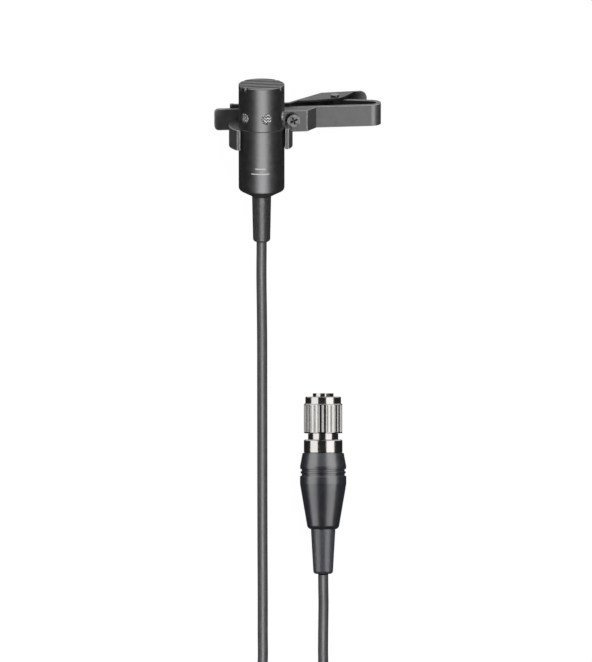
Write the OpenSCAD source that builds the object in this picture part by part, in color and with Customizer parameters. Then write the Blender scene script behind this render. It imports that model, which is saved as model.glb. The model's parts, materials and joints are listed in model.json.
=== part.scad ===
// Lavalier microphone with its tie clip, cord and locking connector, lying on a table.
// Lengths along the microphone are counted from the top of its head towards the cord.

/* [Capsule housing] */
// Radius of the housing
body_r = 5.15; // [5.05:0.05:5.15]
// Length of the housing from the head's top to the cable end
body_len = 25.9; // [25.5:0.1:27]
// Height of the removable head cap
cap_len = 9.85; // [9.6:0.05:10]
// Wall of the head cap
cap_wall = 0.55; // [0.5:0.05:0.7]
// Number of slots across the head's top
slot_count = 6; // [4:1:6]
// Width of one slot
slot_w = 0.6; // [0.4:0.05:0.7]
// Distance from one slot to the next
slot_pitch = 1.36; // [1.2:0.02:1.4]
// Depth of the slots
slot_depth = 0.9; // [0.5:0.1:1]
// Number of sound ports round the cap
port_count = 6; // [4:1:8]
// Radius of a sound port
port_r = 1.15; // [0.8:0.05:1.2]
// Distance of the ports below the head's top
port_s = 6.95; // [6.75:0.05:7.05]
// Turn of the ports away from the front
port_phase = 7; // [0:1:30]

/* [Microphone strain relief] */
// Radius at the housing
relief_r = 2.15; // [1.9:0.05:2.3]
// Radius at the tip
relief_tip_r = 1.95; // [1.7:0.05:2.1]
// Length outside the housing
relief_len = 10.55; // [8:0.05:14]

/* [Holder] */
// Inner radius of the holder, a running fit on the housing
holder_bore_r = 5.2; // [5.2:0.01:5.25]
// Outer radius of the holder, about a centre a little behind its bore
holder_r = 7.15; // [7.05:0.05:7.3]
// Start of the holder below the head's top
holder_s = 9.95; // [9.5:0.05:10.2]
// Height of the holder along the microphone
holder_h = 4.65; // [4:0.05:5]
// Half width of the holder's mouth
holder_mouth = 5.1; // [4.9:0.05:5.1]

/* [Tie clip] */
// Height of the clip's plate along the microphone
plate_h = 4.85; // [4.4:0.05:5]
// Start of the plate below the head's top
plate_s = 7.3; // [7:0.1:7.6]
// Thickness of the spring plate
plate_t = 0.95; // [0.8:0.05:1]
// Left end of the plate
plate_left = -9.9; // [-12:0.1:-9]
// Where the plate starts to bend back
bend_x = 25.5; // [24.9:0.1:26]
// Outer radius of the bend
bend_r = 2.45; // [2.35:0.05:2.5]
// Hinge pin, distance to the right of the microphone's axis
pin_x = 17.9; // [17.6:0.1:18.2]
// Hinge pin, distance behind the plate
pin_back = 5; // [4.9:0.1:5.1]
// Radius of the hinge pin
pin_r = 0.5; // [0.4:0.05:0.5]
// Width of the lever outside its ears
lever_w = 6.4; // [6.3:0.1:6.8]
// Thickness of the lever's sheet
lever_t = 0.6; // [0.5:0.05:0.7]
// Right end of the lever's tail
tail_x = 25.6; // [24:0.1:26]

/* [Connector] */
// Radius of the plug's barrel
barrel_r = 2.33; // [2.2:0.01:2.4]
// Bore of the plug's barrel
barrel_bore_r = 1.95; // [1.9:0.01:2]
// Radius of the knurled ring
ring_r = 4.35; // [4.2:0.05:4.5]
// Number of flutes on the ring
flute_count = 28; // [20:1:32]
// Largest radius of the boot
boot_r = 5.22; // [5.1:0.01:5.3]
// Length of the whole plug with its boot
plug_len = 30.6; // [30:0.1:31]
// Length of the thin sleeve behind the boot
sleeve_len = 10.05; // [9:0.05:12]

/* [Cord] */
// Diameter of the cord
cord_d = 2.3; // [2.1:0.1:2.3]
// Radius of the coil at the middle of its turns
coil_r = 13.8; // [13:0.1:15]

/* [Pose on the table] */
// Rise of the head end, in degrees
tilt = 14.3; // [14.3:0.1:14.3]
// Turn of the microphone on the table, in degrees
heading = 6.67; // [6.67:0.01:6.67]
// Roll of the microphone about its axis, in degrees
roll = 19.1; // [19.1:0.1:19.1]

/* [Hidden] */
$fn = 64;

// Small overlap that makes a cut run through
eps = 0.1;
// Gap between neighbouring pieces of one assembly
gap = 0.02;

// Centre of the head's top
head_at = [-12.02, 17.06, 12.8];
// Centre of the plug's tip, and the plug's height when it lies on its boot
plug_at = [6.64, -52.28, boot_r];

// Inner radius of the cap and of the tube below it
cap_bore_r = body_r - cap_wall;
cap_top = 1.5;
tube_bore_r = 4.3;
cord_bore_r = 1.2;
cord_r = cord_d / 2;

// The plate's front and back, counted forward from the microphone's axis
plate_z = -6.4;
plate_back = plate_z - plate_t;
plate_mid_s = plate_s + plate_h / 2;
block_z = plate_z + 3.1;
screw_x = 7.5;
screw_s = 9.4;
bend_z = plate_z - bend_r;
pin_z = plate_back - pin_back;
screw_head_r = 1.45;
knuckle_r = 1.1;
pin_fit = 0.05;
spring_w = 2.35;

// Stations along the plug, counted from its tip
collar_u = 0.75;
knurl_u = 2.35;
ring_end_u = 9.0;
nut_u = 10.4;
boot_u = 13.4;

// Where the coil lies, and the room for the tie under it
coil_at = [1.3, -137, 0.4];
coil_side = 4 * cord_d;

// Route of the cord from the microphone to the coil
mic_route = [
    [-8.15, -16.05, 4.31], [-7.92, -18.02, 3.8], [-7.57, -21.2, 2.98], [-7.2, -24.8, 2.1],
    [-6.9, -28.5, 1.5], [-6.7, -33, 1.2], [-6.6, -40, 1.15], [-6.58, -52, 1.15],
    [-6.56, -64, 1.15], [-6.54, -76, 1.15], [-6.5, -88, 1.15], [-6.45, -98, 1.15],
    [-6.45, -106, 1.15], [-6.45, -112.5, 1.15], [-6.8, -115.8, 1.15], [-7.9, -118.8, 1.2],
    [-10, -121.6, 1.3], [-12.4, -124, 1.4], [-14.5, -127, 1.5], [-15.5, -130.5, 1.55],
    [-15.8, -134, 1.55], [-15.9, -137, 1.55]
];
// Route of the cord from the coil to the plug
plug_route = [
    [18.5, -137, 8.6], [18.4, -133.5, 8.4], [18.2, -130.2, 7.9], [17.2, -126.8, 6.8],
    [15.3, -124, 5.5], [13, -121.9, 4.2], [10.7, -119.8, 3], [9.15, -117.3, 2],
    [8.55, -114.6, 1.4], [8.47, -111.5, 1.2], [8.45, -107.5, 1.25], [8.2, -103.5, 1.9],
    [7.65, -99.5, 3.2], [7, -96, 4.5], [6.64, -92.93, 5.22], [6.64, -90.9, 5.22]
];

// Points of an arc about [x, y]
function arc(x, y, r, a0, a1, n) = [
    for (i = [0:n]) let (a = a0 + (a1 - a0) * i / n) [x + r * cos(a), y + r * sin(a)]
];

// Rings of a tube of n sides that follows a route
function unit(v) = v / norm(v);
function heading_at(p, i) = unit(p[min(i + 1, len(p) - 1)] - p[max(i - 1, 0)]);
function across(d, side) = unit(cross(d, side));
function tube_points(p, r, n, side) = [
    for (i = [0:len(p) - 1])
        let (d = heading_at(p, i), a = across(d, side), b = cross(d, a))
            for (k = [0:n - 1]) p[i] + r * (cos(k * 360 / n) * a + sin(k * 360 / n) * b)
];
function tube_faces(m, n) = concat(
    [[for (k = [0:n - 1]) k]],
    [for (i = [0:m - 2], k = [0:n - 1])
        let (q = (k + 1) % n) [i * n + k, (i + 1) * n + k, (i + 1) * n + q, i * n + q]],
    [[for (k = [n - 1:-1:0]) (m - 1) * n + k]]
);

module tube(route, r, n, side = [0, 0, 1]) {
    polyhedron(tube_points(route, r, n, side), tube_faces(len(route), n), convexity = 8);
}

// Frames of the microphone and of the plug
module at_mic() {
    translate(head_at) rotate([0, 0, heading]) rotate([tilt, 0, 0]) rotate([0, -roll, 0])
        children();
}
module at_plug() {
    translate(plug_at) children();
}

// A round piece about the axis, from points of [radius, station]
module turned(points) {
    rotate([90, 0, 0]) rotate_extrude() polygon(points);
}
module disc(r, s0, s1) {
    rotate([90, 0, 0]) translate([0, 0, s0]) cylinder(r = r, h = s1 - s0);
}
module ring(r_out, r_in, s0, s1) {
    difference() {
        disc(r_out, s0, s1);
        disc(r_in, s0 - eps, s1 + eps);
    }
}
// An outline in the front-to-back plane, drawn along the axis from one station to another
module across_axis(s0, s1) {
    rotate([90, 0, 0]) translate([0, 0, s0]) linear_extrude(s1 - s0) children();
}
// A rod along the axis at [x, z]
module rod(x, z, r, s0, s1) {
    translate([x, 0, z]) disc(r, s0, s1);
}
// A box between two corners
module block(a, b) {
    translate(a) cube(b - a);
}
module rounded_box(w, h, r) {
    translate([r - w / 2, -h / 2]) square([w - 2 * r, h]);
    translate([-w / 2, r - h / 2]) square([w, h - 2 * r]);
    for (x = [r - w / 2, w / 2 - r], y = [r - h / 2, h / 2 - r]) translate([x, y]) circle(r);
}

/* Microphone */

// The slots across the head, and the narrower openings in their floors
module slots() {
    reach_r = cap_bore_r - 0.4;
    for (i = [0:slot_count - 1]) {
        z = (i - (slot_count - 1) / 2) * slot_pitch;
        half = slot_w / 2;
        floor_half = half - 0.05;
        reach = sqrt(reach_r * reach_r - (abs(z) + half) * (abs(z) + half));
        block([-body_r - 1, -slot_depth, z - half], [body_r + 1, 1, z + half]);
        block([-reach, -cap_top - eps, z - floor_half], [reach, 0.5, z + floor_half]);
    }
}

module head_cap() {
    chamfer = 0.15;
    color("#3a3a3c") at_mic() difference() {
        turned([[0, 0], [body_r - chamfer, 0], [body_r, chamfer], [body_r, cap_len], [0, cap_len]]);
        disc(cap_bore_r, cap_top, cap_len + eps);
        slots();
        for (i = [0:port_count - 1])
            rotate([0, port_phase + i * 360 / port_count, 0])
                translate([0, -port_s, cap_bore_r - 1]) cylinder(r = port_r, h = 3);
    }
}

module top_screen() {
    color("#9b9b98") at_mic() disc(cap_bore_r - gap, cap_top + gap, cap_top + 0.2);
}

module port_screen() {
    color("#b9b9b4") at_mic() ring(cap_bore_r - gap, cap_bore_r - 0.15, 5.2, 8.2);
}

module damping_disc() {
    color("#2b2b2b") at_mic() disc(4.4, cap_top + 0.25, 2.2);
}

module capsule_can() {
    color("#c9c9c4") at_mic() difference() {
        disc(4.4, 2.3, 5.7);
        disc(4.1, 2.5, 5.8);
        for (a = [0:60:300]) rod(2.4 * cos(a), 2.4 * sin(a), 0.45, 2.2, 2.6);
    }
}

module diaphragm_ring() {
    color("#d8c070") at_mic() ring(4.05, 3.4, 2.55, 2.85);
}

module diaphragm() {
    color("#e6e2c8") at_mic() disc(4.05, 2.87, 2.95);
}

module spacer_ring() {
    color("#f2f2ee") at_mic() ring(4.05, 3.6, 2.97, 3.12);
}

module back_plate() {
    color("#c8a850") at_mic() difference() {
        disc(3.45, 3.15, 3.6);
        for (a = [0:60:300]) rod(2 * cos(a), 2 * sin(a), 0.4, 3, 3.8);
    }
}

module insulator_cup() {
    color("#e8e8e0") at_mic() difference() {
        disc(4.05, 3.15, 4.9);
        disc(3.5, 3.1, 4.3);
        rod(0, 0, 0.9, 4, 5);
        rod(2.4, 0, 0.4, 4, 5);
        rod(-2.4, 0, 0.4, 4, 5);
    }
}

module capsule_retaining_ring() {
    color("#8d8d8a") at_mic() ring(4.05, 3.2, 4.95, 5.6);
}

// The tube under the cap, with its cone at the cable end
module body_tube() {
    cone_s = body_len - 1.8;
    corner = 0.8;
    color("#38383a") at_mic() difference() {
        union() {
            turned(concat(
                [[0, cap_len + gap], [body_r - 0.1, cap_len + gap], [body_r, cap_len + 0.12]],
                arc(body_r - corner, cone_s - 0.3, corner, 0, 60, 6),
                [[relief_r, body_len], [0, body_len]]
            ));
            disc(cap_bore_r - gap, cap_len - 1.2, cap_len + 1);
        }
        disc(tube_bore_r, cap_len - 2, cone_s - 1);
        disc(cord_bore_r, cone_s - 2, body_len + 1);
    }
}

module amp_board() {
    color("#2f6b3c") at_mic() block([-3.4, -21.5, -0.4], [3.4, -10.5, 0.4]);
}

module board_components() {
    color("#1d1d1f") at_mic() {
        block([-1.2, -14.5, 0.42], [1.2, -12, 1.5]);
        for (s = [16, 18, 20]) {
            block([-2.6, -s, 0.42], [-1.2, -s + 0.8, 1.1]);
            block([1.2, -s, 0.42], [2.6, -s + 0.8, 1.1]);
        }
    }
}

module lead_wires() {
    color("#b03a2e") at_mic() {
        for (x = [-2.4, 2.4]) rod(x, 0, 0.25, 4.95, 10.45);
        for (x = [-0.6, 0.6]) rod(x, 0, 0.25, 21.55, 22.3);
    }
}

module cable_crimp() {
    color("#b0b0ac") at_mic() ring(1.9, cord_bore_r, 22.35, body_len - 2.85);
}

module mic_strain_relief() {
    end_s = body_len + relief_len;
    color("#47484c") at_mic() difference() {
        turned(concat(
            [[0, body_len + gap], [relief_r, body_len + gap]],
            arc(relief_tip_r - 0.6, end_s - 0.6, 0.6, 0, 90, 6),
            [[0, end_s]]
        ));
        disc(cord_bore_r, body_len - 1, end_s + 1);
    }
}

/* Clip */

// The holder's outline: a ring with a mouth, thinning to its lips, flat where it meets the plate
module holder_outline() {
    lip_z = 2.6;
    ring_z = -1.6;
    difference() {
        translate([0, ring_z]) circle(holder_r);
        circle(holder_bore_r);
        translate([-holder_mouth, 0]) square([2 * holder_mouth, holder_r + 1]);
        translate([-holder_r - 1, lip_z]) square([2 * holder_r + 2, holder_r]);
        translate([-holder_r - 1, plate_z - 2 * holder_r]) square([2 * holder_r + 2, 2 * holder_r]);
    }
}

module holder_clamp() {
    block_right = 10.65;
    bevel_foot = 13.1;
    color("#77777a") at_mic() difference() {
        union() {
            across_axis(holder_s, holder_s + holder_h) holder_outline();
            across_axis(plate_s, plate_s + plate_h)
                polygon([[5.2, plate_z], [bevel_foot, plate_z], [block_right, block_z],
                         [5.2, block_z]]);
        }
        disc(holder_bore_r, 0, body_len);
        translate([screw_x, -screw_s, block_z]) cylinder(r = screw_head_r + 0.05, h = 6);
        translate([screw_x, -screw_s, plate_z - 1]) cylinder(r = 0.62, h = 6);
    }
}

module holder_screw() {
    head_h = 0.9;
    cross_w = 0.38;
    cross_l = 1.7;
    color("#a0a0a2") at_mic() translate([screw_x, -screw_s, 0]) difference() {
        union() {
            translate([0, 0, plate_back + 0.1]) cylinder(r = 0.6, h = 4.2);
            translate([0, 0, block_z + gap]) cylinder(r = screw_head_r, h = head_h);
        }
        rotate([0, 0, 22]) translate([0, 0, block_z + head_h - 0.3]) {
            translate([-cross_l / 2, -cross_w / 2, 0]) cube([cross_l, cross_w, 1]);
            translate([-cross_w / 2, -cross_l / 2, 0]) cube([cross_w, cross_l, 1]);
        }
    }
}

// The rear arm of the frame: from the bend back to the knuckle on the pin
module arm_outline() {
    end_z = bend_z - bend_r;
    polygon([[bend_x, end_z + plate_t], [bend_x, end_z], [pin_x + 0.3, pin_z - 1.06],
             [pin_x, pin_z], [pin_x + 1, pin_z + 0.2]]);
}

module clip_frame() {
    corner = 0.9;
    color("#7d7d80") at_mic() difference() {
        union() {
            translate([0, 0, plate_back]) linear_extrude(plate_t) difference() {
                translate([plate_left, -plate_s - plate_h]) square([bend_x - plate_left, plate_h]);
                for (y = [-plate_s, -plate_s - plate_h]) difference() {
                    translate([plate_left - corner, y - corner]) square(2 * corner);
                    translate([plate_left + corner, y == -plate_s ? y - corner : y + corner])
                        circle(corner);
                }
            }
            across_axis(plate_s, plate_s + plate_h) difference() {
                translate([bend_x, bend_z]) circle(bend_r);
                translate([bend_x, bend_z]) circle(bend_r - plate_t);
                translate([bend_x - 2 * bend_r, bend_z - bend_r]) square(2 * bend_r);
            }
            across_axis(plate_s, plate_s + plate_h) arm_outline();
            across_axis(plate_s, plate_s + plate_h) translate([pin_x, pin_z]) circle(knuckle_r);
        }
        rod(pin_x, pin_z, pin_r + pin_fit, 0, 30);
        block([pin_x - 2, -plate_mid_s - spring_w / 2, pin_z - 3],
              [pin_x + 2.9, -plate_mid_s + spring_w / 2, pin_z + 2.2]);
        translate([screw_x, -screw_s, plate_z - 3]) cylinder(r = 0.62, h = 6);
    }
}

// The lever's sheet: curled tip, flat jaw, slope and tail
module lever_outline() {
    tip = [-5.8, plate_back - 0.58];
    curl_r = 0.52;
    jaw = [7, plate_back - 0.7];
    knee = [15.2, plate_back - 8.4];
    tail = [tail_x, plate_back - 9.4];
    lift = lever_t + 0.02;
    difference() {
        union() {
            translate(tip) circle(curl_r);
            polygon([[tip[0], jaw[1]], jaw, knee, tail, tail + [0, lift], knee + [0.36, lift],
                     jaw + [0.24, lift], [tip[0], jaw[1] + lift]]);
        }
        translate(tip) circle(curl_r - 0.3);
    }
}

// One ear of the lever, from the slope past the pin to the tail
module ear_outline() {
    translate([0, plate_back])
        polygon([[8.9, -2], [12.5, -2.3], [17.2, -3.3], [18.7, -3.4], [20, -4.6], [22.8, -8.8],
                 [15.4, -8.1]]);
}

module clip_lever() {
    s0 = plate_mid_s - lever_w / 2;
    s1 = plate_mid_s + lever_w / 2;
    ear_t = 0.5;
    tail_round = 1.6;
    color("#6f6f72") at_mic() difference() {
        union() {
            across_axis(s0, s1) lever_outline();
            across_axis(s0, s0 + ear_t) ear_outline();
            across_axis(s1 - ear_t, s1) ear_outline();
        }
        rod(pin_x, pin_z, pin_r + 0.005, 0, 30);
        for (s = [s0, s1]) difference() {
            block([tail_x - tail_round, -s - tail_round, -30], [tail_x + 1, -s + tail_round, -10]);
            translate([tail_x - tail_round, s == s0 ? -s - tail_round : -s + tail_round, -31])
                cylinder(r = tail_round, h = 22);
        }
    }
}

module hinge_pin() {
    head_h = 0.4;
    s0 = plate_mid_s - lever_w / 2;
    s1 = plate_mid_s + lever_w / 2;
    color("#b4b4b6") at_mic() {
        rod(pin_x, pin_z, pin_r, s0 - head_h, s1 + head_h);
        rod(pin_x, pin_z, 0.95, s0 - head_h - 0.02, s0 - 0.02);
        rod(pin_x, pin_z, 0.95, s1 + 0.02, s1 + head_h + 0.02);
    }
}

// The coil spring on the pin, with one leg on the frame and one on the lever
module torsion_spring() {
    turns = 4;
    coil = 0.84;
    wire_r = 0.17;
    steps = 10;
    half = spring_w / 2 - 0.3;
    loops = [for (i = [0:turns * steps])
        let (a = 90 - i * 360 / steps)
            [coil * cos(a), half - 2 * half * i / (turns * steps), coil * sin(a)]];
    route = concat([[4.6, half, 1.42], [2.4, half, 0.9]], loops,
                   [[-1.3, -half, 0.55], [-3.2, -half, -1.65]]);
    color("#c4c4c6") at_mic() translate([pin_x, -plate_mid_s, pin_z])
        tube(route, wire_r, 6, [0, 1, 0.001]);
}

/* Connector */

module coupling_ring() {
    flute_r = 0.32;
    color("#c2c3c6") at_plug() difference() {
        union() {
            turned([[0, collar_u], [3.85, collar_u], [4.02, collar_u + 0.17], [4.02, knurl_u],
                    [0, knurl_u]]);
            difference() {
                turned([[0, knurl_u - eps], [ring_r - 0.2, knurl_u - eps], [ring_r - 0.2, knurl_u],
                        [ring_r, knurl_u + 0.2], [ring_r, ring_end_u - 0.2],
                        [ring_r - 0.2, ring_end_u], [0, ring_end_u]]);
                for (i = [0:flute_count - 1]) rotate([0, i * 360 / flute_count, 0])
                    rod(ring_r + 0.1, 0, flute_r, knurl_u + 0.3, ring_end_u - 0.3);
            }
        }
        disc(3.5, collar_u - eps, 7.8);
        disc(3.05, 7.7, ring_end_u + eps);
    }
}

// The barrel, its flange inside the ring, and the stem that carries the rear pieces
module plug_shell() {
    color("#bdbec2") at_plug() difference() {
        union() {
            disc(barrel_r, 0, 7.2);
            disc(3.35, 7.0, 7.7);
            disc(3.0, 7.6, nut_u);
            disc(2.9, nut_u - 1, boot_u + 1.6);
        }
        disc(barrel_bore_r, -eps, 8.4);
        disc(1.8, 8.3, boot_u + 2);
        block([-0.3, -3, barrel_bore_r - 0.3], [0.3, 1, barrel_r + 1]);
    }
}

module plug_insert() {
    color("#26262a") at_plug() difference() {
        disc(barrel_bore_r - gap, 3.4, 8.3);
        for (a = [45:90:315]) rod(cos(a), sin(a), 0.26, 3, 9);
    }
}

module plug_contacts() {
    color("#d2b25a") at_plug()
        for (a = [45:90:315]) rod(cos(a), sin(a), 0.25, 1.2, 9);
}

module ring_retainer() {
    color("#b2b3b6") at_plug() ring(3.4, 3.0 + gap, ring_end_u + 0.05, nut_u - gap);
}

module rear_nut() {
    color("#c2c3c6") at_plug() difference() {
        turned([[0, nut_u], [ring_r - 0.25, nut_u], [ring_r, nut_u + 0.25], [ring_r, boot_u - 0.12],
                [ring_r - 0.12, boot_u], [0, boot_u]]);
        disc(3.0 + gap, nut_u - eps, boot_u + eps);
    }
}

module cable_clamp() {
    color("#a4a5a8") at_plug() difference() {
        ring(1.78, cord_bore_r, 11.4, 15.4);
        block([-0.2, -16, 0], [0.2, -11, 3]);
    }
}

module plug_wires() {
    color("#b03a2e") at_plug()
        for (a = [45:90:315]) rod(0.7 * cos(a), 0.7 * sin(a), 0.22, 9.05, 13);
}

module plug_boot() {
    ridge_r = boot_r - 0.14;
    groove_r = 4.85;
    color("#3e4147") at_plug() difference() {
        turned(concat(
            [[0, boot_u + gap], [4.65, boot_u + gap], [boot_r - 0.02, 16.4], [boot_r - 0.05, 17.0],
             [groove_r, 17.1], [groove_r, 17.5], [ridge_r, 17.6], [ridge_r, 18.0],
             [groove_r, 18.1], [groove_r, 18.5], [boot_r - 0.05, 18.6], [boot_r, 18.9],
             [boot_r, 20.3], [4.95, 22]],
            arc(3.63 - 1, plug_len - 1, 1, 10, 90, 6),
            [[0, plug_len]]
        ));
        disc(3.0, boot_u - 1, 15.1);
        disc(2.2, 15, 22.1);
        disc(2.8, 22, plug_len + 1);
    }
}

module plug_sleeve() {
    end_u = plug_len + sleeve_len;
    color("#4d4f55") at_plug() difference() {
        turned(concat(
            [[0, 22.3], [2.78, 22.3], [2.75, plug_len + 0.3]],
            arc(2.23 - 0.7, end_u - 0.7, 0.7, 0, 90, 6),
            [[0, end_u]]
        ));
        disc(cord_bore_r, 20, end_u + 1);
    }
}

/* Cord */

module cord_to_mic() {
    color("#6a6a6a") tube(mic_route, cord_r, 8);
}

module cord_to_plug() {
    color("#6a6a6a") tube(plug_route, cord_r, 8);
}

module cord_coil() {
    color("#6a6a6a") translate(coil_at) rotate_extrude()
        translate([coil_r, coil_side / 2]) rounded_box(coil_side, coil_side, cord_r);
}

// The band that holds the coil's turns together
module coil_tie() {
    band_w = 4;
    band_t = 0.35;
    room = 0.3;
    inner = coil_side + 2 * room;
    color("#222222") translate([coil_at[0], coil_at[1] - coil_r, coil_at[2] + coil_side / 2])
        rotate([0, 0, 90]) rotate([90, 0, 0]) translate([0, 0, -band_w / 2]) linear_extrude(band_w)
            difference() {
                rounded_box(inner + 2 * band_t, coil_side + 0.04 + 2 * band_t, cord_r + band_t);
                rounded_box(inner, coil_side + 0.04, cord_r);
            }
}

head_cap();
top_screen();
port_screen();
damping_disc();
capsule_can();
diaphragm_ring();
diaphragm();
spacer_ring();
back_plate();
insulator_cup();
capsule_retaining_ring();
body_tube();
amp_board();
board_components();
lead_wires();
cable_crimp();
mic_strain_relief();
holder_clamp();
holder_screw();
clip_frame();
clip_lever();
hinge_pin();
torsion_spring();
coupling_ring();
plug_shell();
plug_insert();
plug_contacts();
ring_retainer();
rear_nut();
cable_clamp();
plug_wires();
plug_boot();
plug_sleeve();
cord_to_mic();
cord_coil();
cord_to_plug();
coil_tie();
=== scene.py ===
"""Lavalier microphone with its tie clip, cord and locking connector, lying on a pale table."""
import json
import math

import bpy
from mathutils import Matrix, Vector


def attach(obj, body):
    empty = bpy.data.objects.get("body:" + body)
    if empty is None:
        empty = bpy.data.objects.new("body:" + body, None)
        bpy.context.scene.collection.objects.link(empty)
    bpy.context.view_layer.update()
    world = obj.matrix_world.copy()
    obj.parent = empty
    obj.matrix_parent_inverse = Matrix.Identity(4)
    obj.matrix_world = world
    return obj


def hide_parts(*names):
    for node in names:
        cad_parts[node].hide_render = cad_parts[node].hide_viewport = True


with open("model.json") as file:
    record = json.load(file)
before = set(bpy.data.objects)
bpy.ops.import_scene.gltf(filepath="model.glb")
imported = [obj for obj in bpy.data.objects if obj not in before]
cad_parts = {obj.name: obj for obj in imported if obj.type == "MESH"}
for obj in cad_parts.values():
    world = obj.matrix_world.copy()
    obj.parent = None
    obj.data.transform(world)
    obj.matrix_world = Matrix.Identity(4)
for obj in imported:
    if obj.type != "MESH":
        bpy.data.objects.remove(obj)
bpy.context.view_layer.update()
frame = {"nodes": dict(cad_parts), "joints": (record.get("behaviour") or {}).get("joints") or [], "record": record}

MM = 0.001
NODES = frame["nodes"]
JOINTS = {j["name"]: j for j in frame["joints"]}


# ---------------------------------------------------------------- frames of the parts

# The microphone's own axes: Y towards the head, X to the clip's right, Z to the clip's front.
MIC_Y = Vector(JOINTS["clip_swivel"]["axis"]).normalized()
# How far the clip's turning point lies below the head's top
HEAD_DROP = 11.6 * MM
HEAD_TOP = Vector(JOINTS["clip_swivel"]["pos_m"]) + HEAD_DROP * MIC_Y
PIN = Vector(JOINTS["lever_pivot"]["pos_m"])
# Where the lever's pin lies on the microphone's axes, in mm from the head's top
PIN_RIGHT = 17.9
PIN_DOWN = 9.725
PIN_BEHIND = 12.35


def mic_frame():
    """The turn from the microphone's own axes to the row's, from the axis and the pin."""
    to_pin = (PIN - HEAD_TOP + PIN_DOWN * MM * MIC_Y).normalized()
    angle = math.atan2(-PIN_BEHIND, PIN_RIGHT)
    side = MIC_Y.cross(to_pin)
    x_axis = math.cos(angle) * to_pin + math.sin(angle) * side
    z_axis = x_axis.cross(MIC_Y)
    return Matrix((x_axis, MIC_Y, z_axis)).transposed()


MIC_TURN = mic_frame()
MOUNTS = {m["name"]: m for m in frame["record"]["mounts"]}
# How far the barrel's chamfered tip stands beyond its mount, in mm
TIP_CHAMFER = 0.2
PLUG_TIP = Vector(MOUNTS["plug_barrel"]["pos_m"]) + Vector((0, TIP_CHAMFER * MM, 0))


def on_mic(x, s, z):
    """A point at [x, s, z] mm, with s counted down from the head's top."""
    return HEAD_TOP + MIC_TURN @ (MM * Vector((x, -s, z)))


def round_mic(r, angle, s):
    """A point at radius r, at an angle from the front towards the right, s mm down."""
    return on_mic(r * math.sin(angle), s, r * math.cos(angle))


# ---------------------------------------------------------------- camera

# The camera looks down on the table, turned about Y by this angle
LEAN = math.radians(24.5)
TO_CAMERA = Vector((-math.sin(LEAN), 0, math.cos(LEAN)))
RIGHT = Vector((math.cos(LEAN), 0, math.sin(LEAN)))
UP = Vector((0, 1, 0))
VIEW_HEIGHT = 148.2 * MM
CAMERA_FAR = 2.6
HEAD_RIGHT_OF_CENTRE = -7.72 * MM
HEAD_ABOVE_CENTRE = 55.31 * MM


def make_camera():
    data = bpy.data.cameras.new("camera")
    data.sensor_width = 36
    data.sensor_fit = "AUTO"
    data.lens = data.sensor_width * CAMERA_FAR / VIEW_HEIGHT
    data.clip_start = 0.05
    data.clip_end = 20
    camera = bpy.data.objects.new("camera", data)
    bpy.context.scene.collection.objects.link(camera)
    aim = HEAD_TOP - HEAD_RIGHT_OF_CENTRE * RIGHT - HEAD_ABOVE_CENTRE * UP
    turn = Matrix((RIGHT, UP, TO_CAMERA)).transposed().to_4x4()
    camera.matrix_world = Matrix.Translation(aim + CAMERA_FAR * TO_CAMERA) @ turn
    bpy.context.scene.camera = camera


make_camera()


# ---------------------------------------------------------------- materials

def socket(node, name, value):
    node.inputs[name].default_value = value


# The painted shade's colour at the bottom of a slot
SHADE_BLACK = (0.01, 0.01, 0.01)


def mix_colors(tree, amount, a, b):
    """A blend of two colours, each a constant or what another node gives."""
    node = tree.nodes.new("ShaderNodeMix")
    node.data_type = "RGBA"
    tree.links.new(amount, node.inputs[0])
    for entry, color in ((node.inputs[6], a), (node.inputs[7], b)):
        if isinstance(color, tuple):
            entry.default_value = (*color, 1)
        else:
            tree.links.new(color, entry)
    return node.outputs[2]


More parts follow.
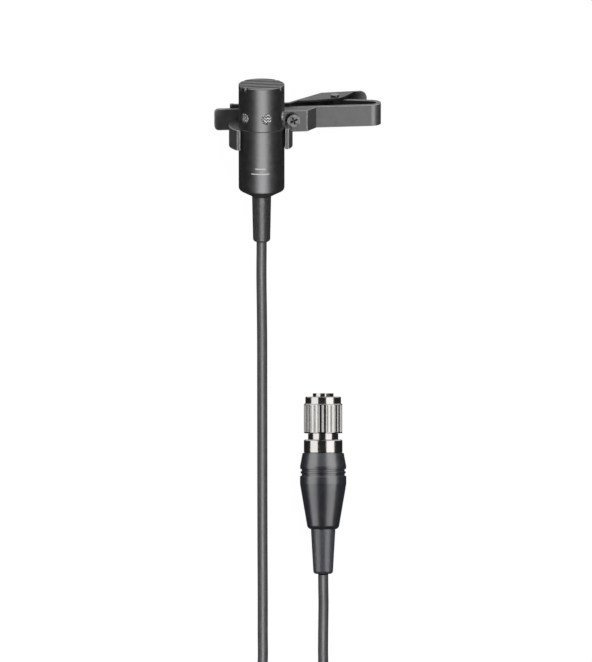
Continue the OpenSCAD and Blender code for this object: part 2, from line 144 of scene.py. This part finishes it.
class Look:
    """A material built on one Principled shader, with helpers for grain, bump, painted highlights along edges and
    painted shade in slots and joints.
    """

    def __init__(self, name, color, rough, metal=0.0, spec=0.5, coat=0.0, sheen=0.0):
        self.mat = bpy.data.materials.new(name)
        self.mat.use_nodes = True
        self.tree = self.mat.node_tree
        self.nodes = self.tree.nodes
        self.shader = self.nodes["Principled BSDF"]
        self.color = color
        self.rough = rough
        socket(self.shader, "Base Color", (*color, 1))
        socket(self.shader, "Roughness", rough)
        socket(self.shader, "Metallic", metal)
        socket(self.shader, "Specular IOR Level", spec)
        socket(self.shader, "Coat Weight", coat)
        socket(self.shader, "Coat Roughness", 0.25)
        socket(self.shader, "Sheen Weight", sheen)
        self.normal = None
        self.place = self.nodes.new("ShaderNodeTexCoord").outputs["Object"]

    def link(self, a, b):
        self.tree.links.new(a, b)

    def noise(self, scale, detail):
        tex = self.nodes.new("ShaderNodeTexNoise")
        socket(tex, "Scale", scale)
        socket(tex, "Detail", detail)
        self.link(self.place, tex.inputs["Vector"])
        return tex.outputs["Fac"]

    def ramp(self, value, low, high, a, b):
        node = self.nodes.new("ShaderNodeMapRange")
        socket(node, "From Min", low)
        socket(node, "From Max", high)
        socket(node, "To Min", a)
        socket(node, "To Max", b)
        self.link(value, node.inputs["Value"])
        return node.outputs["Result"]

    def recolor(self, amount, a, b):
        self.link(mix_colors(self.tree, amount, a, b), self.shader.inputs["Base Color"])

    def color_so_far(self):
        return self.shader.inputs["Base Color"].links[0].from_socket

    def turn_normal(self, normal):
        self.normal = normal
        self.link(normal, self.shader.inputs["Normal"])

    def vary(self, scale, amount, rough_amount=0.06):
        """Colour and roughness drift over the surface."""
        value = self.ramp(self.noise(scale, 3.0), 0.3, 0.7, 0.0, 1.0)
        dark = tuple(c * (1 - amount) for c in self.color)
        light = tuple(min(1.0, c * (1 + amount)) for c in self.color)
        self.recolor(value, dark, light)
        rough = self.ramp(value, 0, 1, self.rough - rough_amount, self.rough + rough_amount)
        self.link(rough, self.shader.inputs["Roughness"])
        return self

    def bump(self, value, distance):
        node = self.nodes.new("ShaderNodeBump")
        socket(node, "Strength", 1.0)
        socket(node, "Distance", distance)
        self.link(value, node.inputs["Height"])
        if self.normal:
            self.link(self.normal, node.inputs["Normal"])
        self.turn_normal(node.outputs["Normal"])
        return self

    def edges(self, radius, pale):
        """Paler metal along the edges, a painted highlight where rounded edges catch the light, found from how a
        small bevel would turn there.
        """
        bevel = self.nodes.new("ShaderNodeBevel")
        bevel.samples = 6
        socket(bevel, "Radius", radius)
        face = self.nodes.new("ShaderNodeNewGeometry")
        dot = self.nodes.new("ShaderNodeVectorMath")
        dot.operation = "DOT_PRODUCT"
        self.link(bevel.outputs["Normal"], dot.inputs[0])
        self.link(face.outputs["Normal"], dot.inputs[1])
        edge_highlight = self.ramp(dot.outputs["Value"], 0.99, 0.88, 0.0, 1.0)
        self.recolor(edge_highlight, self.color_so_far(), pale)
        self.turn_normal(bevel.outputs["Normal"])
        return self

    def crevice_shade(self, distance):
        """Painted shade: darker metal deep in slots and joints, where ambient occlusion finds them."""
        occlusion = self.nodes.new("ShaderNodeAmbientOcclusion")
        occlusion.samples = 8
        occlusion.only_local = True
        socket(occlusion, "Distance", distance)
        unshaded = self.ramp(occlusion.outputs["AO"], 0.6, 0.97, 0.03, 1.0)
        self.recolor(unshaded, SHADE_BLACK, self.color_so_far())
        return self

    def grain(self, scale, distance):
        return self.bump(self.noise(scale, 1.5), distance)

    def weave(self, scale, distance):
        """The bumps of a plain weave, from two crossed waves."""
        total = None
        for direction in ("X", "Y"):
            wave = self.nodes.new("ShaderNodeTexWave")
            wave.bands_direction = direction
            socket(wave, "Scale", scale)
            self.link(self.place, wave.inputs["Vector"])
            if total is None:
                total = wave.outputs["Fac"]
            else:
                join = self.nodes.new("ShaderNodeMath")
                join.operation = "MULTIPLY"
                self.link(total, join.inputs[0])
                self.link(wave.outputs["Fac"], join.inputs[1])
                total = join.outputs["Value"]
        return self.bump(total, distance)


def make_looks():
    um = MM * MM
    looks = {
        # On these metals the paler edges are painted highlights, and the darkening in slots and joints is painted
        # shade.
        "housing": Look("housing_black", (0.2, 0.2, 0.203), 0.46, metal=1.0)
        .vary(900, 0.10, 0.03).edges(0.12 * MM, (0.34, 0.34, 0.34)).crevice_shade(1.2 * MM)
        .grain(9000, 4 * um),
        "clip_metal": Look("clip_grey", (0.115, 0.115, 0.117), 0.46, metal=0.75)
        .vary(700, 0.10, 0.04).edges(0.22 * MM, (0.75, 0.75, 0.75)).grain(9000, 4 * um),
        # The lever: the clip's metal made darker, painted shade for the lever and its ears, which sit out of the
        # light.
        "lever_shaded_metal": Look("lever_shaded_grey", (0.06, 0.06, 0.061), 0.42, metal=0.6)
        .vary(700, 0.10, 0.04).edges(0.16 * MM, (0.4, 0.4, 0.4)).grain(9000, 4 * um),
        "screw_metal": Look("screw_steel", (0.19, 0.19, 0.193), 0.34, metal=1.0)
        .vary(1200, 0.15).edges(0.1 * MM, (0.5, 0.5, 0.5)).crevice_shade(0.6 * MM)
        .grain(5000, 2 * um),
        "nickel": Look("nickel_plate", (0.38, 0.37, 0.355), 0.15, metal=1.0)
        .vary(500, 0.05, 0.03).grain(2500, 0.8 * um),
        "boot_rubber": Look("boot_rubber", (0.009, 0.0105, 0.0155), 0.34, spec=1.0, coat=1.0)
        .vary(700, 0.15, 0.04).grain(4500, 9 * um),
        "sleeve_rubber": Look("sleeve_rubber", (0.025, 0.027, 0.035), 0.45, spec=1.0, coat=0.4)
        .vary(2600, 0.5, 0.08).grain(2600, 60 * um),
        "relief_rubber": Look("relief_rubber", (0.03, 0.03, 0.031), 0.48, spec=1.0, coat=0.4)
        .vary(2600, 0.5, 0.08).grain(2600, 60 * um),
        "cord_jacket": Look("cord_jacket", (0.034, 0.034, 0.035), 0.48, spec=1.0)
        .vary(500, 0.08, 0.04).grain(2500, 5 * um),
        "mesh": Look("wire_mesh", (0.95, 0.94, 0.91), 0.3, metal=1.0)
        .vary(2000, 0.15).grain(8000, 2 * um),
        # The screen behind the port mesh: its own dark colour, darkened further as painted shade so the mesh's
        # holes read dark.
        "screen_back": Look("screen_back", (0.02, 0.02, 0.02), 0.6, metal=0.6)
        .vary(1500, 0.2).weave(420, 30 * um),
        "screen_dark": Look("screen_dark", (0.03, 0.03, 0.03), 0.6, metal=0.6)
        .vary(1500, 0.2).weave(420, 30 * um),
        "felt": Look("felt", (0.02, 0.02, 0.02), 0.9, sheen=0.5).vary(2000, 0.3).grain(5000, 30 * um),
        "steel": Look("bright_steel", (0.6, 0.6, 0.6), 0.25, metal=1.0).vary(900, 0.1),
        "brass": Look("brass", (0.75, 0.56, 0.24), 0.22, metal=1.0).vary(900, 0.1),
        "film": Look("film", (0.8, 0.76, 0.62), 0.2, coat=0.4).vary(500, 0.05),
        "white_plastic": Look("white_plastic", (0.75, 0.75, 0.7), 0.4).vary(500, 0.05),
        "board": Look("board_green", (0.02, 0.14, 0.05), 0.35, coat=0.3).vary(1500, 0.2),
        "black_plastic": Look("black_plastic", (0.02, 0.02, 0.022), 0.4).vary(1200, 0.2),
        "wire": Look("wire_red", (0.4, 0.03, 0.02), 0.35).vary(900, 0.1),
        "tie_fabric": Look("tie_fabric", (0.018, 0.018, 0.019), 0.8, sheen=0.4)
        .vary(2500, 0.3).weave(520, 90 * um),
        "print": Look("pale_print", (0.75, 0.75, 0.75), 0.5).vary(2500, 0.12),
    }
    return {name: look.mat for name, look in looks.items()}


LOOKS = make_looks()


# The nodes whose look isn't the one that their material slot names
OWN_LOOKS = {
    "port_screen": "screen_back",
    "top_screen": "screen_dark",
    # The lever's look is a darker copy of the clip's metal: painted shade.
    "clip_lever": "lever_shaded_metal",
}


def dress():
    """Gives every carried-over node its material."""
    slots = {s["node"]: s["material_slot"] for s in frame["record"]["subparts"]}
    for name, obj in NODES.items():
        look = LOOKS[OWN_LOOKS.get(name, slots[name])]
        if not obj.material_slots:
            obj.data.materials.append(look)
        for entry in obj.material_slots:
            entry.link = "OBJECT"
            entry.material = look


dress()


# ---------------------------------------------------------------- mesh helpers

def new_piece(name, verts, faces, look, body):
    """A mesh with its look, riding on a body."""
    mesh = bpy.data.meshes.new(name)
    mesh.from_pydata([tuple(v) for v in verts], [], faces)
    mesh.validate()
    mesh.update()
    for poly in mesh.polygons:
        poly.use_smooth = True
    obj = bpy.data.objects.new(name, mesh)
    bpy.context.scene.collection.objects.link(obj)
    obj.data.materials.append(LOOKS[look])
    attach(obj, body)
    return obj


def add_tube(verts, faces, path, radius, sides):
    """Adds a round tube along a path of points to a list of vertices and faces."""
    base = len(verts)
    last = len(path) - 1
    side = None
    for i, p in enumerate(path):
        along = (path[min(i + 1, last)] - path[max(i - 1, 0)]).normalized()
        if side is None:
            side = along.orthogonal().normalized()
        side = (side - side.dot(along) * along).normalized()
        up = along.cross(side)
        for k in range(sides):
            a = 2 * math.pi * k / sides
            verts.append(p + radius * (math.cos(a) * side + math.sin(a) * up))
    for i in range(last):
        ring = base + i * sides
        following = ring + sides
        for k in range(sides):
            q = (k + 1) % sides
            faces.append((ring + k, ring + q, following + q, following + k))
    faces.append(tuple(base + k for k in reversed(range(sides))))
    faces.append(tuple(base + last * sides + k for k in range(sides)))


# ---------------------------------------------------------------- cord

# The cord's thickness in mm and its length in metres
CORD_D = 2.3
CORD_LENGTH = 1.4
# The coil: its centre and underside in mm, its turns, the turns side by side in a layer,
# and the points in a turn
COIL_CENTRE = (1.3, -137)
COIL_FLOOR = 0.4
COIL_TURNS = 14.5
COIL_COLUMNS = 4
COIL_STEPS = 24
# The degrees of a turn over which it moves to the next turn's place
SHIFT_FROM = 270
SHIFT_TO = 340
# The same for the half turn that leaves the coil
LAST_SHIFT_TO = 180
# How far a turn swings out as it climbs to the next layer, in columns
CLIMB_SWING = 0.5
# The least and most that the coil's middle radius may be, in mm
COIL_R_RANGE = (12.5, 14.5)

# The route from the strain relief to the coil, and from the coil to the plug's sleeve, in mm
MIC_LEAD = [
    (-7.57, -21.2, 2.98), (-7.2, -24.8, 2.1), (-6.9, -28.5, 1.5), (-6.7, -33, 1.2),
    (-6.6, -40, 1.15), (-6.58, -52, 1.15), (-6.56, -64, 1.15), (-6.54, -76, 1.15),
    (-6.5, -88, 1.15), (-6.45, -98, 1.15), (-6.45, -106, 1.15), (-6.45, -112.5, 1.15),
    (-6.8, -115.8, 1.15), (-7.9, -118.8, 1.2), (-10.0, -121.6, 1.3), (-12.4, -124, 1.4),
    (-14.5, -127, 1.5), (-15.5, -130.5, 1.55), (-15.8, -134, 1.55),
]
PLUG_LEAD = [
    (18.4, -133.5, 8.4), (18.2, -130.2, 7.9), (17.2, -126.8, 6.8), (15.3, -124, 5.5),
    (13.0, -121.9, 4.2), (10.7, -119.8, 3.0), (9.15, -117.3, 2.0), (8.55, -114.6, 1.4),
    (8.47, -111.5, 1.2), (8.45, -107.5, 1.25), (8.2, -103.5, 1.9), (7.65, -99.5, 3.2),
    (7.0, -96, 4.5),
]
# How far the strain relief's end is from the head's top, and the sleeve's from the plug's tip
RELIEF_END = 36.45
SLEEVE_END = 40.65


def relief_exit():
    """Where the cord leaves the microphone's strain relief: its lowest end on the axis."""
    return on_mic(0, RELIEF_END, 0) / MM


def turn_slot(k):
    """Column and layer of turn k, wound in rows: outward in, then inward out."""
    layer, place = divmod(k, COIL_COLUMNS)
    column = COIL_COLUMNS - 1 - place if layer % 2 == 0 else place
    return column, layer


def ease(t):
    t = max(0.0, min(1.0, t))
    return t * t * (3 - 2 * t)


def coil_points(mid_r):
    """The coil's turns, wound in layers from the table up."""
    points = []
    total = int(COIL_TURNS * COIL_STEPS)
    last = int(COIL_TURNS)
    for i in range(total + 1):
        degrees = 360 * i / COIL_STEPS
        k, within = divmod(degrees, 360)
        k = int(k)
        column, layer = turn_slot(k)
        if k < last:
            next_column, next_layer = turn_slot(k + 1)
            t = ease((within - SHIFT_FROM) / (SHIFT_TO - SHIFT_FROM))
            swing = CLIMB_SWING * math.sin(math.pi * t) if next_layer != layer else 0.0
            swing = -swing if column == 0 else swing
        else:
            next_column, next_layer = COIL_COLUMNS - 1, layer
            t = ease(within / LAST_SHIFT_TO)
            swing = 0.0
        column = column + t * (next_column - column) + swing
        layer = layer + t * (next_layer - layer)
        r = mid_r + (column - (COIL_COLUMNS - 1) / 2) * CORD_D
        angle = math.radians(180 + degrees)
        points.append(Vector((COIL_CENTRE[0] + r * math.cos(angle),
                              COIL_CENTRE[1] + r * math.sin(angle),
                              COIL_FLOOR + CORD_D * (0.5 + layer))))
    return points


def smooth_path(p, steps=6):
    """Catmull-Rom points through p, with chord-length spacing."""
    out = []
    n = len(p)
    for i in range(n - 1):
        p0 = p[i - 1] if i else 2 * p[0] - p[1]
        p1, p2 = p[i], p[i + 1]
        p3 = p[i + 2] if i + 2 < n else 2 * p[-1] - p[-2]
        t0 = 0.0
        t1 = t0 + math.sqrt((p1 - p0).length)
        t2 = t1 + math.sqrt((p2 - p1).length)
        t3 = t2 + math.sqrt((p3 - p2).length)
        for s in range(steps):
            t = t1 + (t2 - t1) * s / steps
            a1 = p0.lerp(p1, (t - t0) / (t1 - t0))
            a2 = p1.lerp(p2, (t - t1) / (t2 - t1))
            a3 = p2.lerp(p3, (t - t2) / (t3 - t2))
            b1 = a1.lerp(a2, (t - t0) / (t2 - t0))
            b2 = a2.lerp(a3, (t - t1) / (t3 - t1))
            out.append(b1.lerp(b2, (t - t1) / (t2 - t1)))
    out.append(p[-1])
    return out


def cord_points(mid_r):
    """The whole cord for a coil of this middle radius."""
    start = relief_exit()
    to_coil = [Vector(p) for p in MIC_LEAD]
    to_plug = [Vector(p) for p in PLUG_LEAD]
    end = PLUG_TIP / MM + Vector((0, -SLEEVE_END, 0))
    return smooth_path([start] + to_coil + coil_points(mid_r) + to_plug + [end])


def path_length(points):
    return sum((b - a).length for a, b in zip(points, points[1:]))


def make_cord():
    """The cord, on the coil radius that gives its whole length."""
    low, high = COIL_R_RANGE
    for _ in range(18):
        mid_r = (low + high) / 2
        points = cord_points(mid_r)
        if path_length(points) * MM < CORD_LENGTH:
            low = mid_r
        else:
            high = mid_r
    curve = bpy.data.curves.new("cord", "CURVE")
    curve.dimensions = "3D"
    curve.bevel_depth = CORD_D / 2 * MM
    curve.bevel_resolution = 5
    curve.use_fill_caps = True
    spline = curve.splines.new("POLY")
    spline.points.add(len(points) - 1)
    for point, place in zip(spline.points, points):
        point.co = (*(place * MM), 1)
    spline.use_smooth = True
    cord = bpy.data.objects.new("cord", curve)
    bpy.context.scene.collection.objects.link(cord)
    curve.materials.append(LOOKS["cord_jacket"])
    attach(cord, "microphone")
    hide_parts("cord_to_mic", "cord_coil", "cord_to_plug")
    return cord, mid_r


CORD, COIL_MID_R = make_cord()


def make_tie():
    """A soft band round all the turns, thinner towards its two rims."""
    half_w, thick, rows = 2.0, 0.35, 8
    slack, rim = 0.05, 0.03
    half = CORD_D * COIL_COLUMNS / 2 + slack
    corner, corner_steps = 1.6, 6
    loop = []
    for cx, cz, start in ((1, 1, 0), (-1, 1, 90), (-1, -1, 180), (1, -1, 270)):
        for k in range(corner_steps + 1):
            a = math.radians(start + 90 * k / corner_steps)
            x = cx * (half - corner) + corner * math.cos(a)
            z = cz * (half - corner) + corner * math.sin(a)
            loop.append((x, z, math.cos(a), math.sin(a)))
    verts, faces = [], []
    centre = Vector((COIL_CENTRE[0], COIL_CENTRE[1], COIL_FLOOR + CORD_D * COIL_COLUMNS / 2))
    n = len(loop)
    columns = rows + 1
    for j in range(columns):
        w = -half_w + 2 * half_w * j / rows
        edge = 1 - (abs(w) / half_w) ** 4
        angle = w / COIL_MID_R - math.pi / 2
        out = Vector((math.cos(angle), math.sin(angle), 0))
        for depth in (0, 1):
            for x, z, nx, nz in loop:
                lift = rim + (thick - 2 * rim) * (depth * (0.55 + 0.45 * edge))
                r = COIL_MID_R + x + nx * lift
                verts.append((centre + out * r + Vector((0, 0, z + nz * lift))) * MM)
    for j in range(columns - 1):
        for i in range(n):
            q = (i + 1) % n
            inner = [(j * 2) * n, ((j + 1) * 2) * n]
            outer = [inner[0] + n, inner[1] + n]
            faces.append((inner[0] + i, inner[1] + i, inner[1] + q, inner[0] + q))
            faces.append((outer[0] + i, outer[0] + q, outer[1] + q, outer[1] + i))
    for i in range(n):
        q = (i + 1) % n
        last = (columns - 1) * 2 * n
        faces.append((i, q, n + q, n + i))
        faces.append((last + i, last + n + i, last + n + q, last + q))
    tie = new_piece("cord_tie", verts, faces, "tie_fabric", "microphone")
    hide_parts("coil_tie")
    return tie


TIE = make_tie()


# ---------------------------------------------------------------- detail on the microphone

BODY_R = 5.15
# The sound ports: how far below the head's top, radius, first one's angle and number
PORT_S = 6.95
PORT_R = 1.15
PORT_PHASE = 7
PORTS = 6
# The mesh in the ports, in mm: wire radius, spacing, radius of the sheet round the
# microphone's axis, how far the wires weave in and out, gap at the port's wall
WIRE_R = 0.1
WIRE_PITCH = 0.5
SHEET_R = 4.84
WEAVE_DEPTH = 0.06
MESH_GAP = 0.03
WIRE_STEPS = 16
WIRE_SIDES = 5
# The print: each line's half length and place below the head's top, the lines' width, the
# paint's height over the wall and depth in it, and how far round the body it stands
PRINT_LINES = ((1.2, 18.4), (2.1, 19.6))
PRINT_WIDTH = 0.2
PAINT_PROUD = 0.008
PAINT_ROOT = 0.02
PRINT_TURN = math.radians(-9.4)
PRINT_STEPS = 10


def mesh_wire(centre, offset, reach, phase, cross):
    """One wire's path, offset from the port's middle and slanting across it at 45 degrees."""
    path = []
    for k in range(WIRE_STEPS + 1):
        along = -reach + 2 * reach * k / WIRE_STEPS
        r = SHEET_R + WEAVE_DEPTH * math.cos(math.pi * along / WIRE_PITCH + phase)
        u, v = (offset, along) if cross else (along, offset)
        across, down = (u - v) / math.sqrt(2), (u + v) / math.sqrt(2)
        path.append(round_mic(r, centre + across / SHEET_R, PORT_S + down))
    return path


def make_port_mesh():
    """Woven wire in each sound port, following the wall's curve."""
    verts, faces = [], []
    limit = PORT_R - MESH_GAP
    most = math.ceil(limit / WIRE_PITCH)
    for port in range(PORTS):
        centre = math.radians(PORT_PHASE + port * 360 / PORTS)
        for cross in (0, 1):
            for i in range(-most, most + 1):
                offset = i * WIRE_PITCH
                reach = math.sqrt(max(0.0, limit ** 2 - offset ** 2))
                if reach >= WIRE_PITCH:
                    path = mesh_wire(centre, offset, reach, math.pi * (i + cross), cross)
                    add_tube(verts, faces, path, WIRE_R * MM, WIRE_SIDES)
    mesh = new_piece("port_wire_mesh", verts, faces, "mesh", "microphone")
    return mesh


PORT_MESH = make_port_mesh()


def make_print():
    """Two plain lines across the body, printed in thin paint."""
    verts, faces = [], []
    for reach, s in PRINT_LINES:
        base = len(verts)
        for k in range(-PRINT_STEPS, PRINT_STEPS + 1):
            angle = PRINT_TURN + reach * k / PRINT_STEPS / BODY_R
            for edge in (s - PRINT_WIDTH / 2, s + PRINT_WIDTH / 2):
                for r in (BODY_R + PAINT_PROUD, BODY_R - PAINT_ROOT):
                    verts.append(round_mic(r, angle, edge))
        end = base + 8 * PRINT_STEPS
        for a in range(base, end, 4):
            b = a + 4
            faces.append((a, b, b + 2, a + 2))
            faces.append((a + 1, a + 3, b + 3, b + 1))
            faces.append((a, a + 1, b + 1, b))
            faces.append((a + 2, b + 2, b + 3, a + 3))
        faces.append((base, base + 2, base + 3, base + 1))
        faces.append((end, end + 1, end + 3, end + 2))
    mark = new_piece("line_print", verts, faces, "print", "microphone")
    return mark


PRINT = make_print()


# ---------------------------------------------------------------- stage and lights

# Half the floor's width, and how far it lies under the object's lowest point, in metres
FLOOR_HALF = 1.6
FLOOR_DROP = 0.0002


def make_floor():
    corners = [(x * FLOOR_HALF, y * FLOOR_HALF, 0) for x, y in ((-1, -1), (1, -1), (1, 1), (-1, 1))]
    mesh = bpy.data.meshes.new("floor")
    mesh.from_pydata(corners, [], [(0, 1, 2, 3)])
    floor = bpy.data.objects.new("floor", mesh)
    bpy.context.scene.collection.objects.link(floor)
    mat = bpy.data.materials.new("floor")
    mat.use_nodes = True
    shader = mat.node_tree.nodes["Principled BSDF"]
    socket(shader, "Base Color", (0.1, 0.1, 0.1, 1))
    socket(shader, "Roughness", 0.9)
    socket(shader, "Specular IOR Level", 0.1)
    socket(shader, "Emission Color", (1, 1, 1, 1))
    socket(shader, "Emission Strength", 0.97)
    floor.data.materials.append(mat)
    floor.location.z = -FLOOR_DROP
    floor.visible_glossy = False


make_floor()

# The pieces that are lit together
PLUG_PIECES = [
    NODES[n] for n in ("coupling_ring", "plug_shell", "plug_insert", "plug_contacts",
                       "ring_retainer", "rear_nut", "plug_boot", "plug_sleeve")
]
CLIP_PIECES = [
    NODES[n] for n in ("holder_clamp", "holder_screw", "clip_frame", "clip_lever", "hinge_pin",
                       "torsion_spring")
]
MIC_PIECES = [NODES[n] for n in ("head_cap", "body_tube", "mic_strain_relief", "port_screen")]
MIC_PIECES += [PORT_MESH, PRINT]

# Where the lights aim, and how far from there they stand, in metres
LIT_CENTRE = Vector((0, -0.05, 0.01))
LIGHT_FAR = 0.7


def softbox(name, turn, rise, width, length, power, lit):
    """An area light that faces the object, turned about Y from the camera's direction and
    raised towards +Y, both in degrees. It lights only one group of pieces."""
    data = bpy.data.lights.new(name, "AREA")
    data.shape = "RECTANGLE"
    data.size = width
    data.size_y = length
    data.energy = power
    light = bpy.data.objects.new(name, data)
    bpy.context.scene.collection.objects.link(light)
    angle = math.radians(turn) - LEAN
    lift = math.radians(rise)
    away = Vector((math.sin(angle) * math.cos(lift), math.sin(lift),
                   math.cos(angle) * math.cos(lift)))
    side = Vector((0, 1, 0)).cross(away).normalized()
    up = away.cross(side)
    facing = Matrix((side, up, away)).transposed().to_4x4()
    light.matrix_world = Matrix.Translation(LIT_CENTRE + LIGHT_FAR * away) @ facing
    group = bpy.data.collections.new(name + "_lights")
    for piece in lit:
        group.objects.link(piece)
    light.light_linking.receiver_collection = group


softbox("plug_left", -58, 8, 0.66, 0.9, 4.0, PLUG_PIECES)
softbox("plug_right", 45, 8, 0.66, 0.9, 4.5, PLUG_PIECES)
softbox("mic_front", 5, -33, 0.62, 0.34, 3.1, MIC_PIECES)
softbox("mesh_front", -8, -12, 0.5, 0.5, 1.8, [PORT_MESH])
softbox("cord_front", 2, -20, 0.42, 1.3, 10.0, [CORD, TIE])
softbox("clip_front", 40, -25, 0.34, 0.34, 3.6, CLIP_PIECES)
softbox("clip_left", -38, -25, 0.34, 0.34, 1.3, CLIP_PIECES)


def make_world():
    """Pale to the camera, softly lit for the surfaces, and in reflections dark round the
    camera and pale beyond the microphone's head."""
    world = bpy.data.worlds.new("world")
    bpy.context.scene.world = world
    world.use_nodes = True
    tree = world.node_tree
    nodes, links = tree.nodes, tree.links
    background = nodes["Background"]
    path = nodes.new("ShaderNodeLightPath")
    place = nodes.new("ShaderNodeTexCoord")
    split = nodes.new("ShaderNodeSeparateXYZ")
    links.new(place.outputs["Generated"], split.inputs["Vector"])
    above = nodes.new("ShaderNodeMapRange")
    above.interpolation_type = "SMOOTHSTEP"
    socket(above, "From Min", 0.30)
    socket(above, "From Max", 0.50)
    links.new(split.outputs["Y"], above.inputs["Value"])
    mirrored = mix_colors(tree, above.outputs["Result"], (0.035, 0.035, 0.037), (1.1, 1.1, 1.1))
    soft = mix_colors(tree, path.outputs["Is Glossy Ray"], (0.4, 0.4, 0.41), mirrored)
    seen = mix_colors(tree, path.outputs["Is Camera Ray"], soft, (0.93, 0.93, 0.93))
    links.new(seen, background.inputs["Color"])


make_world()
scene = bpy.context.scene
scene.view_settings.view_transform = "Standard"
scene.view_settings.look = "None"
